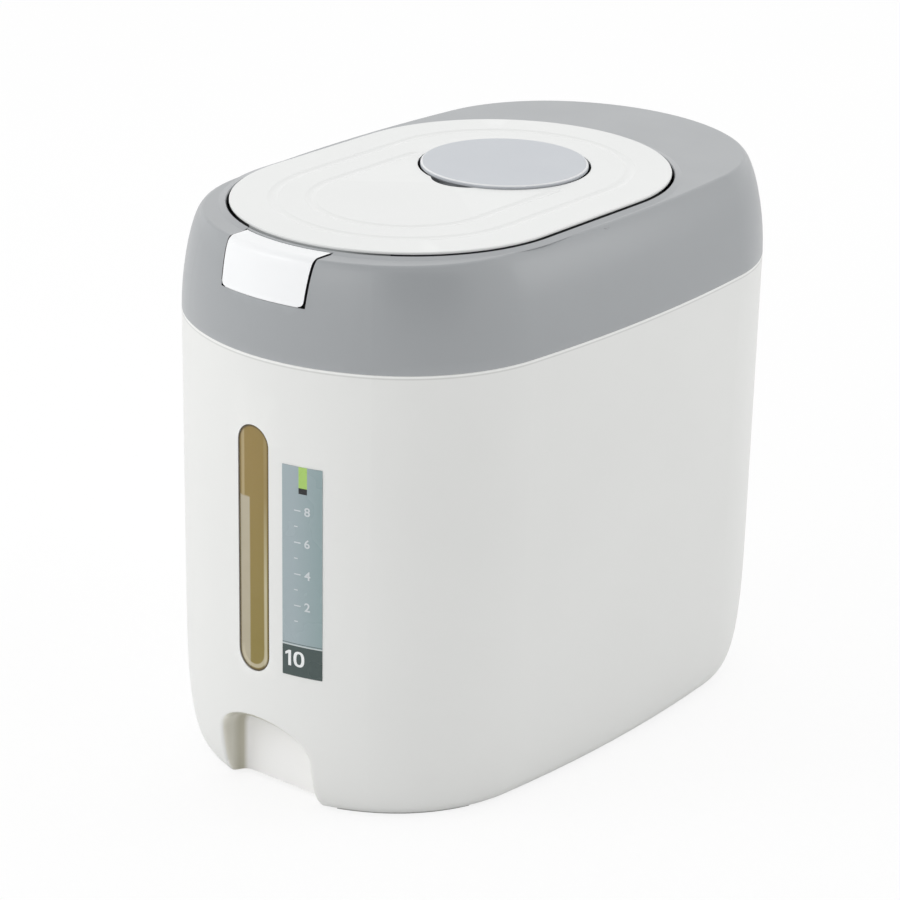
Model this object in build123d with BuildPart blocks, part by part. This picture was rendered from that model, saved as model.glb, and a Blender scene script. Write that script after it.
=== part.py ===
"""Rice bin with a flip lid, a push latch, a level window and a measuring cup stowed in the lid.

Millimetres. +Z is up and the front, with the window and the latch, faces -Y.
The origin is on the floor, under the middle of the tub.
"""
from build123d import *
from math import asin, cos, radians, sin
import os

os.makedirs("parts", exist_ok=True)

# Outline of the tub at the seam: side, corner and end arcs that meet at a tangent
seam_height = 233.9
half_width = 105.5
half_length = 170.0
corner_radius = 90.3
side_sweep = 6.1  # half angle of a side arc
end_sweep = 31.6  # half angle of an end arc

# Tub
wall = 2.6
draft_rise = 0.008  # how far a wall leans in for each millimetre down
foot_height = 1.5
underside_recess = 3.0
recess_inset = 27.0
floor_thickness = 2.8
skirting_width = 16.5  # how far the base curve comes in
skirting_height = 85.9
skirting_power = 3.28
rim_rounding = 0.6
neck_height = 7.0
neck_depth = 8.0
neck_thickness = 2.2
neck_clearance = 0.7

# Hand hold at the foot of the front
hold_half_width = 27.8
hold_height = 43.4
hold_arch_rise = 16.6
hold_depth = 23.0  # from the tub's front end to the hold's back wall
hold_lip = 2.5
hold_rounding = 6.0  # where the hold's sides and top meet its back wall

# Foot pads
pad_inset = 13.5
pad_width = 8.0
pad_seat_depth = 1.0
pad_beside_hold = 8.2  # from the hold's side to the front pads
pad_end_y = 104.0
pad_clearance = 0.2

# Window
window_x = -2.1
window_width = 19.9
window_low = 69.8
window_below_seam = 35.4
window_clearance = 0.2
pane_recess = 0.5
pane_thickness = 2.0
flange_width = 5.0
gasket_thickness = 1.0
clamp_thickness = 2.0
clamp_bar = 4.0

# Level label
label_left = 16.0
label_width = 20.8
label_low = 73.8
label_height = 109.4
label_glue = 0.05
label_thickness = 0.3

# Collar, the grey ring on the tub
collar_height = 50.5
collar_wall = 2.5
shoulder_side = 12.3  # how far the top edge stands in at the sides
shoulder_end = 10.0
shoulder_shift = 1.2  # the top edge lies this much further forward
shoulder_rise_power = 1.76
shoulder_turn_power = 1.54
shoulder_rounding = 2.0
opening_chamfer = 0.5
rim_rise = 0.9  # the rim round the lid stands above the collar's top
rim_land = 0.5
rim_slope = 3.5
boss_radius = 3.5
rear_boss_side = 53.5  # from the tub's side to the rear bosses
rear_boss_end = 44.0
front_boss_side = 51.5
front_boss_end = 36.0
side_boss_offset = 5.5  # outside the lid's edge

# Lid
lid_side_margin = 19.5  # from the tub's side to the lid's edge
lid_front_margin = 23.4
lid_rear_margin = 68.8
lid_proud = 2.4
lid_gap = 1.3
panel_thickness = 1.2
lid_rounding = 0.7
groove_radius = 8.0
groove_depth = 0.45
outer_groove_inset = 21.3
inner_groove_inset = 39.5
inner_groove_behind = 13.2  # how far behind the middle of the lid's rear arc it ends
liner_thickness = 4.4
liner_inset = 2.7

# Throat, plug and seal
frame_plate_thickness = 2.5
frame_clearance = 0.9
frame_gasket_thickness = 1.2
throat_inset = 13.5  # from the lid's edge to the inside of the throat
throat_wall = 2.2
bracket_base = 2.0
throat_below_top = 10.8
seal_gap = 0.3
seal_thickness = 2.1
seal_height = 4.5
seal_below_top = 16.8
plug_gap = 0.6
plug_wall = 2.0
plug_foot = 2.0  # how far the plug reaches below the seal

# Measuring cup and its well
cup_forward = 40.4  # from the middle of the lid back to the middle of the cup
cup_base_radius = 42.5
cup_waist_radius = 38.0  # of the side, under the base's rim
cup_rim_thickness = 2.0
cup_mouth_radius = 43.2
cup_height = 38.0
cup_wall = 1.6
cup_rounding = 1.3
cup_proud = 1.7
well_radius = 43.9
well_wall = 1.8
finger_radius = 18.0
finger_reach = 5.7
finger_depth = 16.0

# Rear hinge of the lid
hinge_behind_lid = 13.8
hinge_below_top = 7.4
hinge_pin_radius = 2.0
hinge_pin_length = 60.0
knuckle_radius = 4.3
running_clearance = 0.05
arm_low_x = 12.5
arm_width = 7.0
arm_bend_radius = 17.0
arm_thickness = 4.5
arm_strut = 4.4
ear_gap = 4.5
ear_width = 4.0
spring_wire = 1.4
spring_side_gap = 0.6
spring_clearance = 0.3

# Push latch at the front
latch_half_width = 25.4
latch_top_half_width = 26.4
latch_drop = 21.9  # from the collar's top to the latch's lower edge
latch_thickness = 2.4
latch_proud = 0.5
latch_edge_offset = 3.6  # from the lid's edge to the latch's rear edge
latch_gap = 0.9
latch_rear_gap = 0.55
latch_rounding = 5.0
latch_foot_gap = 0.5
latch_bevel = 0.76
latch_bevel_start = 0.4  # in front of the collar's face
latch_corner = 2.5
latch_pivot_depth = 13.5  # behind the tub's front end
latch_pivot_drop = 7.9
latch_pin_radius = 1.25
latch_knuckle_radius = 2.5
latch_rib_x = 12.0
latch_rib_width = 3.0
latch_post_width = 3.0
latch_side_gap = 1.5
latch_seat_gap = 0.05
hook_gap = 0.3
hook_bar = 2.3
hook_drop = 24.4
hook_height = 3.0
nose_half_width = 7.0
nose_thickness = 2.0
nose_tooth = 1.7
nose_drop = 28.1
nose_tooth_height = 3.2
return_spring_radius = 3.2
return_spring_bore = 2.2
return_spring_drop = 18.9
return_spring_depth = 13.8
spring_seat_width = 7.7
spring_seat_thickness = 3.0
spigot_length = 4.4

# Screws
screw_radius = 1.45
screw_hole_clearance = 0.05
screw_head_radius = 3.0
screw_head_height = 1.8
screw_pass_radius = 1.8
screw_grip = 9.0

collar_top = seam_height + collar_height
hold_back = half_length - hold_depth
pad_start_x = hold_half_width + pad_beside_hold
rim_top = collar_top + rim_rise
window_high = seam_height - window_below_seam
lid_top = collar_top + lid_proud
lid_half_width = half_width - lid_side_margin
lid_half_length = half_length - (lid_front_margin + lid_rear_margin) / 2
lid_y = (lid_front_margin - lid_rear_margin) / 2
front_end_y = lid_y - lid_half_length + lid_half_width
rear_end_y = lid_y + lid_half_length - lid_half_width
throat_top = lid_top - throat_below_top
seal_low = lid_top - seal_below_top
plug_low = seal_low - plug_foot
cup_y = lid_y + cup_forward
hinge_y = lid_y + lid_half_length + hinge_behind_lid
latch_low = collar_top - latch_drop
latch_pivot_y = latch_pivot_depth - half_length
latch_pivot_z = collar_top - latch_pivot_drop
hook_low = collar_top - hook_drop
nose_low = collar_top - nose_drop
return_spring_z = collar_top - return_spring_drop
return_spring_rear = return_spring_depth - half_length
liner_top = lid_top - panel_thickness
liner_low = liner_top - liner_thickness
hinge_z = collar_top - hinge_below_top
inner_floor = foot_height + underside_recess + floor_thickness
plate_low = seam_height + neck_height + frame_gasket_thickness
plate_top = plate_low + frame_plate_thickness
cup_top = lid_top + cup_proud
well_floor = cup_top - cup_height
finger_y = cup_y - cup_base_radius - finger_reach + finger_radius
far = 2 * half_length


def oval_radii(growth_x, growth_y):
    """Side, corner and end radii of the tub's outline, grown by these amounts."""
    a = half_width + growth_x
    b = half_length + growth_y
    r = corner_radius + (growth_x + growth_y) / 2
    t1 = radians(side_sweep)
    t2 = radians(90 - end_sweep)
    p = a - r * (cos(t1) - cos(t2))
    q = b - r * (sin(t2) - sin(t1))
    det = (1 - cos(t1)) * (1 - sin(t2)) - cos(t2) * sin(t1)
    side_r = (p * (1 - sin(t2)) - q * cos(t2)) / det
    end_r = (q * (1 - cos(t1)) - p * sin(t1)) / det
    return side_r, r, end_r


def oval(growth_x, growth_y, height, shift=0.0):
    """The tub's outline, grown by these amounts, as a face at this height."""
    a = half_width + growth_x
    b = half_length + growth_y
    side_r, r, end_r = oval_radii(growth_x, growth_y)
    t1 = radians(side_sweep)
    t2 = radians(90 - end_sweep)
    corner_x = a - side_r + (side_r - r) * cos(t1)
    corner_y = (side_r - r) * sin(t1)

    def on_corner(angle, sx, sy):
        return (sx * (corner_x + r * cos(angle)), sy * (corner_y + r * sin(angle)) + shift)

    middle = (t1 + t2) / 2
    with BuildSketch(Plane.XY.offset(height)) as outline:
        with BuildLine():
            for sx in (1, -1):
                ThreePointArc(on_corner(t1, sx, -1), (sx * a, shift), on_corner(t1, sx, 1))
                ThreePointArc(on_corner(t2, -1, sx), (0, sx * b + shift), on_corner(t2, 1, sx))
                for sy in (1, -1):
                    ThreePointArc(
                        on_corner(t1, sx, sy), on_corner(middle, sx, sy), on_corner(t2, sx, sy)
                    )
        make_face()
    return outline.sketch


def evenly(profile, steps, samples=600):
    """Points of a profile, given for 0 to 1, spaced evenly along its length."""
    points = [Vector(*profile(i / samples)) for i in range(samples + 1)]
    reached = [0.0]
    for before, after in zip(points, points[1:]):
        reached.append(reached[-1] + (after - before).length)
    picked = []
    for step in range(steps + 1):
        wanted = reached[-1] * step / steps
        picked.append(min(range(samples + 1), key=lambda i: abs(reached[i] - wanted)))
    return [points[i] for i in picked]


def tub_growth(height):
    """How far the tub's wall stands out from the seam's outline at this height (negative is in)."""
    lean = -draft_rise * (seam_height - height)
    if height >= skirting_height:
        return lean
    turn = asin((1 - height / skirting_height) ** (skirting_power / 2))
    return lean - skirting_width * (1 - cos(turn) ** (2 / skirting_power))


def tub_form(growth, low, high=seam_height, steps=9):
    """A solid with the tub's outer shape, grown, from low up to high."""
    curve = evenly(
        lambda t: (tub_growth(low + t * (skirting_height - low)), low + t * (skirting_height - low)),
        steps,
    )
    base = [oval(growth + point.X, growth + point.X, point.Y) for point in curve]
    side = growth + tub_growth(high)
    with BuildPart() as form:
        loft(base)
        loft([base[-1], oval(side, side, high)])
    return form.part


def collar_profile(turn):
    """How far in, as a share, and how high, as a share, the collar's side is at this turn."""
    rise = (1 - (1 - turn) ** shoulder_turn_power) ** (1 / shoulder_rise_power)
    return (turn * shoulder_side, rise * collar_height)


def collar_form(growth, rounding=shoulder_rounding, steps=8):
    """A solid with the collar's outer shape, grown, standing on the seam."""
    sections = []
    for point in evenly(collar_profile, steps):
        turn = point.X / shoulder_side
        sections.append(
            oval(
                growth - shoulder_side * turn,
                growth - shoulder_end * turn,
                seam_height + point.Y * (collar_height + growth) / collar_height,
                -shoulder_shift * turn,
            )
        )
    with BuildPart() as form:
        loft(sections)
        fillet(form.faces().sort_by(Axis.Z)[-1].edges(), rounding)
    return form.part


def stadium(inset, height):
    """The lid's outline, moved in by inset, as a face at this height."""
    with BuildSketch(Plane.XY.offset(height)) as outline:
        with Locations((0, lid_y)):
            SlotOverall(2 * (lid_half_length - inset), 2 * (lid_half_width - inset), rotation=90)
    return outline.sketch


def well_outline(height):
    """The round well with the finger notch at its front, as a face at this height."""
    with BuildSketch(Plane.XY.offset(height)) as outline:
        with Locations((0, cup_y)):
            Circle(well_radius)
        with Locations((0, finger_y)):
            Circle(finger_radius)
    return outline.sketch


def hold_form(growth):
    """The hand hold's hollow, grown, from its back wall out through the front."""
    arch_start = hold_height - hold_arch_rise
    with BuildPart() as form:
        with BuildSketch(Plane.XZ.offset(hold_back - growth)):
            with Locations((0, arch_start)):
                Ellipse(hold_half_width + growth, hold_arch_rise + growth)
                Rectangle(
                    2 * (hold_half_width + growth), 2 * arch_start, align=(Align.CENTER, Align.MAX)
                )
        extrude(amount=half_length)
        back = form.faces().sort_by(Axis.Y)[-1].edges()
        fillet(back.filter_by_position(Axis.Z, -arch_start / 2, hold_height), hold_rounding + growth)
    return form.part


def window_form(growth):
    """The window's slot, grown, run through the front wall."""
    with BuildPart() as form:
        with BuildSketch(Plane.XZ.offset(hold_back)):
            with Locations((window_x, (window_low + window_high) / 2)):
                SlotOverall(
                    window_high - window_low + 2 * growth, window_width + 2 * growth, rotation=90
                )
        extrude(amount=half_length)
    return form.part


def tub_skin(shape, outer, inner):
    """The part of a shape that lies between two growths of the tub's outer form."""
    with BuildPart() as skin:
        add(shape)
        add(tub_form(outer, foot_height), mode=Mode.INTERSECT)
        add(tub_form(inner, foot_height), mode=Mode.SUBTRACT)
    return skin.part


def pad_form(growth, high):
    """The front right foot pad, grown in plan, from the floor up to high."""
    with BuildPart() as form:
        with BuildSketch():
            add(oval(growth - pad_inset, growth - pad_inset, 0))
            inner = growth + pad_inset + pad_width
            add(oval(-inner, -inner, 0), mode=Mode.SUBTRACT)
            with Locations((pad_start_x - growth, growth - pad_end_y)):
                Rectangle(far, far, align=(Align.MIN, Align.MAX), mode=Mode.INTERSECT)
        extrude(amount=high)
    return form.part


def latch_form(growth, rear_growth, low):
    """The latch's outline seen from the front, grown, run back to a line along the lid's edge."""
    slope = (latch_top_half_width - latch_half_width) / (collar_top - latch_low)
    top = collar_top + 2 * lid_proud
    low_x = latch_half_width + growth + slope * (low - latch_low)
    top_x = latch_half_width + growth + slope * (top - latch_low)
    with BuildPart() as form:
        with BuildSketch(Plane.XZ) as front:
            with BuildLine():
                Polyline((-low_x, low), (low_x, low), (top_x, top), (-top_x, top), close=True)
            make_face()
            fillet(front.vertices().group_by(Axis.Y)[0], latch_corner)
        extrude(amount=far)
        extrude(stadium(rear_growth - latch_edge_offset, 0), amount=far, mode=Mode.SUBTRACT)
    return form.part


def bridge(x, width, outline):
    """An outline in the YZ plane as a plate of this width, standing out from x."""
    with BuildPart() as plate:
        extrude(Plane.YZ.offset(x) * outline, amount=width)
    return plate.part


def round_post(y, z, radius, low):
    """The side view of a post with a round head at (y, z) and its foot at low."""
    with BuildSketch() as outline:
        with Locations((y, z)):
            Circle(radius)
            Rectangle(2 * radius, z - low, align=(Align.CENTER, Align.MAX))
    return outline.sketch


def shaft(y, z, radius, length):
    """A round bar along X, centred on x = 0."""
    with BuildPart() as bar:
        with BuildSketch(Plane.YZ.offset(-length / 2)):
            with Locations((y, z)):
                Circle(radius)
        extrude(amount=length)
    return bar.part


def groove(inset, side_end, closed):
    """A round-bottomed trough along the lid's outline, moved in, with its sides run to side_end.

    An open groove runs out softly, in the shape of a ball.
    """
    radius = lid_half_width - inset
    trough_z = lid_top + groove_radius - groove_depth
    with BuildPart() as trough:
        with BuildSketch(Plane.XZ.offset(-front_end_y)):
            with Locations((radius, trough_z), (-radius, trough_z)):
                Circle(groove_radius)
        extrude(amount=front_end_y - side_end)
        ends = ((front_end_y, -1), (side_end, 1)) if closed else ((front_end_y, -1),)
        for end_y, turn in ends:
            with BuildSketch(Plane.XZ.offset(-end_y)):
                with Locations((radius, trough_z)):
                    Circle(groove_radius)
            revolve(axis=Axis((0, end_y, 0), (0, 0, turn)), revolution_arc=180)
        if not closed:
            with Locations((radius, side_end, trough_z), (-radius, side_end, trough_z)):
                Sphere(groove_radius)
    return trough.part


boss_places = [
    (half_width - rear_boss_side, half_length - rear_boss_end),
    (half_width - front_boss_side, front_boss_end - half_length),
    (lid_half_width + side_boss_offset, lid_y),
]
boss_points = [(sx * x, y) for x, y in boss_places for sx in (1, -1)]


# Tub
with BuildPart() as cavity:
    add(tub_form(-wall, inner_floor))
    add(hold_form(wall), mode=Mode.SUBTRACT)

neck_outer = -(collar_wall + neck_clearance)
neck_inner = neck_outer - neck_thickness
with BuildPart() as tub:
    add(tub_form(0, foot_height))
    fillet(tub.faces().sort_by(Axis.Z)[-1].edges(), rim_rounding)
    add(hold_form(0), mode=Mode.SUBTRACT)
    mouth_start = -(hold_back + hold_rounding + hold_lip / 2)
    mouth = tub.edges().filter_by(GeomType.BSPLINE).filter_by_position(Axis.Y, -far, mouth_start)
    mouth = mouth.filter_by(lambda edge: abs(edge.center().X) < hold_half_width + hold_lip / 2)
    fillet(mouth.filter_by_position(Axis.Z, 0, hold_height + hold_lip), hold_lip)
    add(cavity.part, mode=Mode.SUBTRACT)
    with BuildSketch(Plane.XY.offset(seam_height - neck_depth)):
        add(oval(-wall / 2, -wall / 2, 0))
        add(oval(neck_inner, neck_inner, 0), mode=Mode.SUBTRACT)
    extrude(amount=neck_depth - rim_rounding)
    with BuildSketch(Plane.XY.offset(seam_height - neck_depth)):
        add(oval(neck_outer, neck_outer, 0))
        add(oval(neck_inner, neck_inner, 0), mode=Mode.SUBTRACT)
    extrude(amount=neck_depth + neck_height)
    with BuildSketch(Plane.XY.offset(foot_height)):
        add(oval(-recess_inset, -recess_inset, 0))
    extrude(amount=underside_recess, mode=Mode.SUBTRACT)
    add(window_form(0), mode=Mode.SUBTRACT)
    for front in (True, False):
        for right in (True, False):
            seat = pad_form(pad_clearance, foot_height + pad_seat_depth)
            seat = seat if front else seat.mirror(Plane.XZ)
            add(seat if right else seat.mirror(Plane.YZ), mode=Mode.SUBTRACT)
tub.part.label = "tub_shell"
export_step(tub.part, "parts/tub_shell.step")

# Foot pads
for end in ("front", "rear"):
    for side in ("right", "left"):
        with BuildPart() as pad:
            add(pad_form(0, foot_height + pad_seat_depth))
            if end == "rear":
                mirror(about=Plane.XZ, mode=Mode.REPLACE)
            if side == "left":
                mirror(about=Plane.YZ, mode=Mode.REPLACE)
        pad.part.label = f"foot_{end}_{side}"
        export_step(pad.part, f"parts/foot_{end}_{side}.step")

# Window: a pane that fills the slot, its gasket and the clamp behind it
pane_back = wall + gasket_thickness + pane_thickness
with BuildPart() as window_pane:
    add(tub_skin(window_form(-window_clearance), -pane_recess, -pane_back))
    add(tub_skin(window_form(flange_width), -(wall + gasket_thickness), -pane_back))
window_pane.part.label = "window_pane"
export_step(window_pane.part, "parts/window_pane.step")

with BuildPart() as window_gasket:
    add(tub_skin(window_form(flange_width), -wall, -(wall + gasket_thickness)))
    add(window_form(window_clearance), mode=Mode.SUBTRACT)
window_gasket.part.label = "window_gasket"
export_step(window_gasket.part, "parts/window_gasket.step")

with BuildPart() as window_clamp:
    add(tub_skin(window_form(flange_width), -pane_back, -(pane_back + clamp_thickness)))
    add(window_form(flange_width - clamp_bar), mode=Mode.SUBTRACT)
window_clamp.part.label = "window_clamp"
export_step(window_clamp.part, "parts/window_clamp.step")

# Level label
with BuildPart() as label_block:
    with BuildSketch(Plane.XZ.offset(hold_back)):
        with Locations((label_left, label_low)):
            Rectangle(label_width, label_height, align=(Align.MIN, Align.MIN))
    extrude(amount=half_length)
with BuildPart() as level_label:
    add(tub_skin(label_block.part, label_thickness, label_glue))
level_label.part.label = "level_label"
export_step(level_label.part, "parts/level_label.step")

# Collar
foot = latch_low - latch_foot_gap
foot_share = 1 - (1 - ((foot - seam_height) / collar_height) ** shoulder_rise_power) ** (
    1 / shoulder_turn_power
)
foot_radius = oval_radii(-shoulder_side * foot_share, -shoulder_end * foot_share)[2]
foot_radius += latch_bevel_start
foot_front = half_length - (shoulder_end - shoulder_shift) * foot_share + latch_bevel_start
with BuildPart() as latch_opening:
    add(latch_form(latch_gap, latch_rear_gap, latch_low - latch_corner - collar_wall))
    with BuildSketch(Plane.XZ.offset(foot_front - foot_radius)):
        with BuildLine():
            Polyline(
                (0, 0),
                (0, foot - latch_bevel * foot_radius),
                (foot_radius, foot),
                (far, foot),
                (far, 0),
                close=True,
            )
        make_face()
    revolve(axis=Axis((0, foot_radius - foot_front, 0), (0, 0, 1)), mode=Mode.SUBTRACT)

with BuildPart() as collar:
    add(collar_form(0))
    add(collar_form(-collar_wall), mode=Mode.SUBTRACT)
    loft(
        [
            stadium(-(lid_gap + rim_land + 1.25 * rim_slope), collar_top - rim_rise / 4),
            stadium(-(lid_gap + rim_land), rim_top),
        ]
    )
    extrude(stadium(-lid_gap, plate_top), amount=collar_height, mode=Mode.SUBTRACT)
    extrude(
        stadium(-lid_gap, rim_top - opening_chamfer),
        amount=2 * opening_chamfer,
        taper=-45,
        mode=Mode.SUBTRACT,
    )
    add(latch_opening.part, mode=Mode.SUBTRACT)
    with BuildSketch(Plane.XY.offset(plate_top)):
        with Locations(boss_points):
            Circle(boss_radius)
            Circle(screw_radius + screw_hole_clearance, mode=Mode.SUBTRACT)
    extrude(amount=screw_grip)
    with BuildSketch(Plane.XY.offset(plate_top + screw_grip)):
        with Locations(boss_points):
            Circle(boss_radius)
    extrude(amount=collar_top - collar_wall / 2 - plate_top - screw_grip)
collar.part.label = "collar"
export_step(collar.part, "parts/collar.step")

# Frame under the collar: its plate, then the throat and the two brackets that stand on it
frame_outer = -(collar_wall + frame_clearance)
with BuildPart() as inner_frame:
    with BuildSketch(Plane.XY.offset(plate_low)):
        add(oval(frame_outer, frame_outer, 0))
        add(stadium(throat_inset, 0), mode=Mode.SUBTRACT)
        with Locations(boss_points):
            Circle(screw_pass_radius, mode=Mode.SUBTRACT)
    extrude(amount=frame_plate_thickness)
inner_frame.part.label = "inner_frame"
export_step(inner_frame.part, "parts/inner_frame.step")

with BuildPart() as throat_ring:
    with BuildSketch(Plane.XY.offset(plate_top)):
        add(stadium(throat_inset - throat_wall, 0))
        add(stadium(throat_inset, 0), mode=Mode.SUBTRACT)
    extrude(amount=throat_top - plate_top)
throat_ring.part.label = "throat_ring"
export_step(throat_ring.part, "parts/throat_ring.step")

ear_x = arm_low_x + arm_width + ear_gap
hinge_bore = shaft(hinge_y, hinge_z, hinge_pin_radius + running_clearance, far)
with BuildPart() as hinge_bracket:
    with Locations((0, hinge_y, plate_top)):
        Box(
            2 * (ear_x + ear_width),
            2 * knuckle_radius,
            bracket_base,
            align=(Align.CENTER, Align.CENTER, Align.MIN),
        )
    for x in (ear_x, -ear_x - ear_width):
        add(bridge(x, ear_width, round_post(hinge_y, hinge_z, knuckle_radius, plate_top)))
    add(hinge_bore, mode=Mode.SUBTRACT)
hinge_bracket.part.label = "hinge_bracket"
export_step(hinge_bracket.part, "parts/hinge_bracket.step")

post_x = latch_rib_x + latch_rib_width + latch_side_gap
latch_bore = shaft(latch_pivot_y, latch_pivot_z, latch_pin_radius + running_clearance, far)
with BuildPart() as latch_bracket:
    with Locations((0, latch_pivot_y, plate_top)):
        Box(
            2 * (post_x + latch_post_width),
            4 * latch_knuckle_radius,
            bracket_base,
            align=(Align.CENTER, Align.CENTER, Align.MIN),
        )
    for x in (post_x, -post_x - latch_post_width):
        post = round_post(latch_pivot_y, latch_pivot_z, latch_knuckle_radius, plate_top)
        add(bridge(x, latch_post_width, post))
    with Locations((0, return_spring_rear, plate_top)):
        Box(
            spring_seat_width,
            spring_seat_thickness,
            return_spring_z + return_spring_radius - plate_top,
            align=(Align.CENTER, Align.MIN, Align.MIN),
        )
    with BuildSketch(Plane.XZ.offset(-return_spring_rear)):
        with Locations((0, return_spring_z)):
            Circle(return_spring_bore - spring_clearance)
    extrude(amount=spigot_length)
    add(latch_bore, mode=Mode.SUBTRACT)
latch_bracket.part.label = "latch_bracket"
export_step(latch_bracket.part, "parts/latch_bracket.step")

with BuildPart() as frame_gasket:
    with BuildSketch(Plane.XY.offset(seam_height + neck_height)):
        add(oval(neck_outer, neck_outer, 0))
        add(oval(neck_inner, neck_inner, 0), mode=Mode.SUBTRACT)
    extrude(amount=frame_gasket_thickness)
frame_gasket.part.label = "frame_gasket"
export_step(frame_gasket.part, "parts/frame_gasket.step")

with BuildPart() as frame_screws:
    with BuildSketch(Plane.XY.offset(plate_low)):
        with Locations(boss_points):
            Circle(screw_head_radius)
    extrude(amount=-screw_head_height)
    with BuildSketch(Plane.XY.offset(plate_low)):
        with Locations(boss_points):
            Circle(screw_radius)
    extrude(amount=frame_plate_thickness + screw_grip - screw_hole_clearance)
frame_screws.part.label = "frame_screws"
export_step(frame_screws.part, "parts/frame_screws.step")

# Lid: the white panel with its two shallow grooves
with BuildPart() as lid_panel:
    extrude(stadium(0, liner_top), amount=panel_thickness)
    fillet(lid_panel.faces().sort_by(Axis.Z)[-1].edges(), lid_rounding)
    extrude(well_outline(liner_top), amount=panel_thickness, mode=Mode.SUBTRACT)
    add(groove(outer_groove_inset, rear_end_y, True), mode=Mode.SUBTRACT)
    inner_groove_end = rear_end_y - inner_groove_behind
    add(groove(inner_groove_inset, inner_groove_end, False), mode=Mode.SUBTRACT)
lid_panel.part.label = "lid_panel"
export_step(lid_panel.part, "parts/lid_panel.step")

# Lid liner, and what hangs under it: plug, cup well, latch nose and two gooseneck arms
with BuildPart() as lid_liner:
    extrude(stadium(liner_inset, liner_low), amount=liner_thickness)
    extrude(well_outline(liner_low), amount=liner_thickness, mode=Mode.SUBTRACT)
lid_liner.part.label = "lid_liner"
export_step(lid_liner.part, "parts/lid_liner.step")

plug_inset = throat_inset + seal_gap + seal_thickness
with BuildPart() as lid_plug:
    with BuildSketch(Plane.XY.offset(seal_low)):
        add(stadium(plug_inset, 0))
        add(stadium(plug_inset + plug_wall, 0), mode=Mode.SUBTRACT)
    extrude(amount=liner_low - seal_low)
    with BuildSketch(Plane.XY.offset(plug_low)):
        add(stadium(throat_inset + plug_gap, 0))
        add(stadium(plug_inset + plug_wall, 0), mode=Mode.SUBTRACT)
    extrude(amount=plug_foot)
lid_plug.part.label = "lid_plug"
export_step(lid_plug.part, "parts/lid_plug.step")

finger_floor = lid_top - finger_depth
with BuildPart() as cup_well:
    for y, radius, floor in ((cup_y, well_radius, well_floor), (finger_y, finger_radius, finger_floor)):
        with Locations((0, y, floor - well_wall)):
            Cylinder(
                radius + well_wall,
                liner_low - floor + well_wall,
                align=(Align.CENTER, Align.CENTER, Align.MIN),
            )
    for y, radius, floor in ((cup_y, well_radius, well_floor), (finger_y, finger_radius, finger_floor)):
        with Locations((0, y, floor)):
            Cylinder(
                radius, far, align=(Align.CENTER, Align.CENTER, Align.MIN), mode=Mode.SUBTRACT
            )
cup_well.part.label = "cup_well"
export_step(cup_well.part, "parts/cup_well.step")

nose_front = lid_y - lid_half_length + liner_inset
nose_rear = nose_front + nose_thickness
with BuildPart() as lid_nose:
    for depth, height in (
        (nose_thickness, liner_low - nose_low),
        (nose_thickness + nose_tooth, nose_tooth_height),
    ):
        with Locations((0, nose_front, nose_low)):
            Box(
                2 * nose_half_width,
                depth,
                height,
                align=(Align.CENTER, Align.MIN, Align.MIN),
            )
lid_nose.part.label = "lid_nose"
export_step(lid_nose.part, "parts/lid_nose.step")

arm_outer = arm_bend_radius + arm_thickness
with BuildSketch() as arm_side:
    with Locations((hinge_y, hinge_z)):
        Circle(arm_outer)
        Circle(arm_bend_radius, mode=Mode.SUBTRACT)
        Rectangle(far, far, align=(Align.MIN, Align.CENTER), mode=Mode.SUBTRACT)
        Rectangle(far, far, align=(Align.CENTER, Align.MIN), mode=Mode.SUBTRACT)
        Rectangle(arm_strut, arm_outer, align=(Align.CENTER, Align.MAX))
        Circle(knuckle_radius)
    with Locations((hinge_y - arm_outer, hinge_z)):
        Rectangle(arm_thickness, liner_low - hinge_z, align=(Align.MIN, Align.MIN))
for x, side in ((arm_low_x, "right"), (-arm_low_x - arm_width, "left")):
    with BuildPart() as lid_arm:
        add(bridge(x, arm_width, arm_side.sketch))
        add(hinge_bore, mode=Mode.SUBTRACT)
    lid_arm.part.label = f"lid_arm_{side}"
    export_step(lid_arm.part, f"parts/lid_arm_{side}.step")

with BuildPart() as lid_seal:
    with BuildSketch(Plane.XY.offset(seal_low)):
        add(stadium(throat_inset + seal_gap, 0))
        add(stadium(plug_inset, 0), mode=Mode.SUBTRACT)
    extrude(amount=seal_height)
lid_seal.part.label = "lid_seal"
export_step(lid_seal.part, "parts/lid_seal.step")

# Hinge pin and the two springs on it
with BuildPart() as hinge_pin:
    add(shaft(hinge_y, hinge_z, hinge_pin_radius, hinge_pin_length))
hinge_pin.part.label = "hinge_pin"
export_step(hinge_pin.part, "parts/hinge_pin.step")

spring_length = arm_low_x - 2 * spring_side_gap
for x, side in ((spring_side_gap, "right"), (-spring_side_gap - spring_length, "left")):
    with BuildSketch() as coil:
        with Locations((hinge_y, hinge_z)):
            Circle(hinge_pin_radius + spring_clearance + spring_wire)
            Circle(hinge_pin_radius + spring_clearance, mode=Mode.SUBTRACT)
    with BuildPart() as hinge_spring:
        add(bridge(x, spring_length, coil.sketch))
    hinge_spring.part.label = f"hinge_spring_{side}"
    export_step(hinge_spring.part, f"parts/hinge_spring_{side}.step")

# Latch: the white button, its two arms, the hook between them, its pin and its spring
with BuildPart() as latch_button:
    add(latch_form(0, 0, latch_low))
    add(collar_form(latch_proud, latch_rounding), mode=Mode.INTERSECT)
    add(collar_form(latch_proud - latch_thickness), mode=Mode.SUBTRACT)
latch_button.part.label = "latch_button"
export_step(latch_button.part, "parts/latch_button.step")

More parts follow.
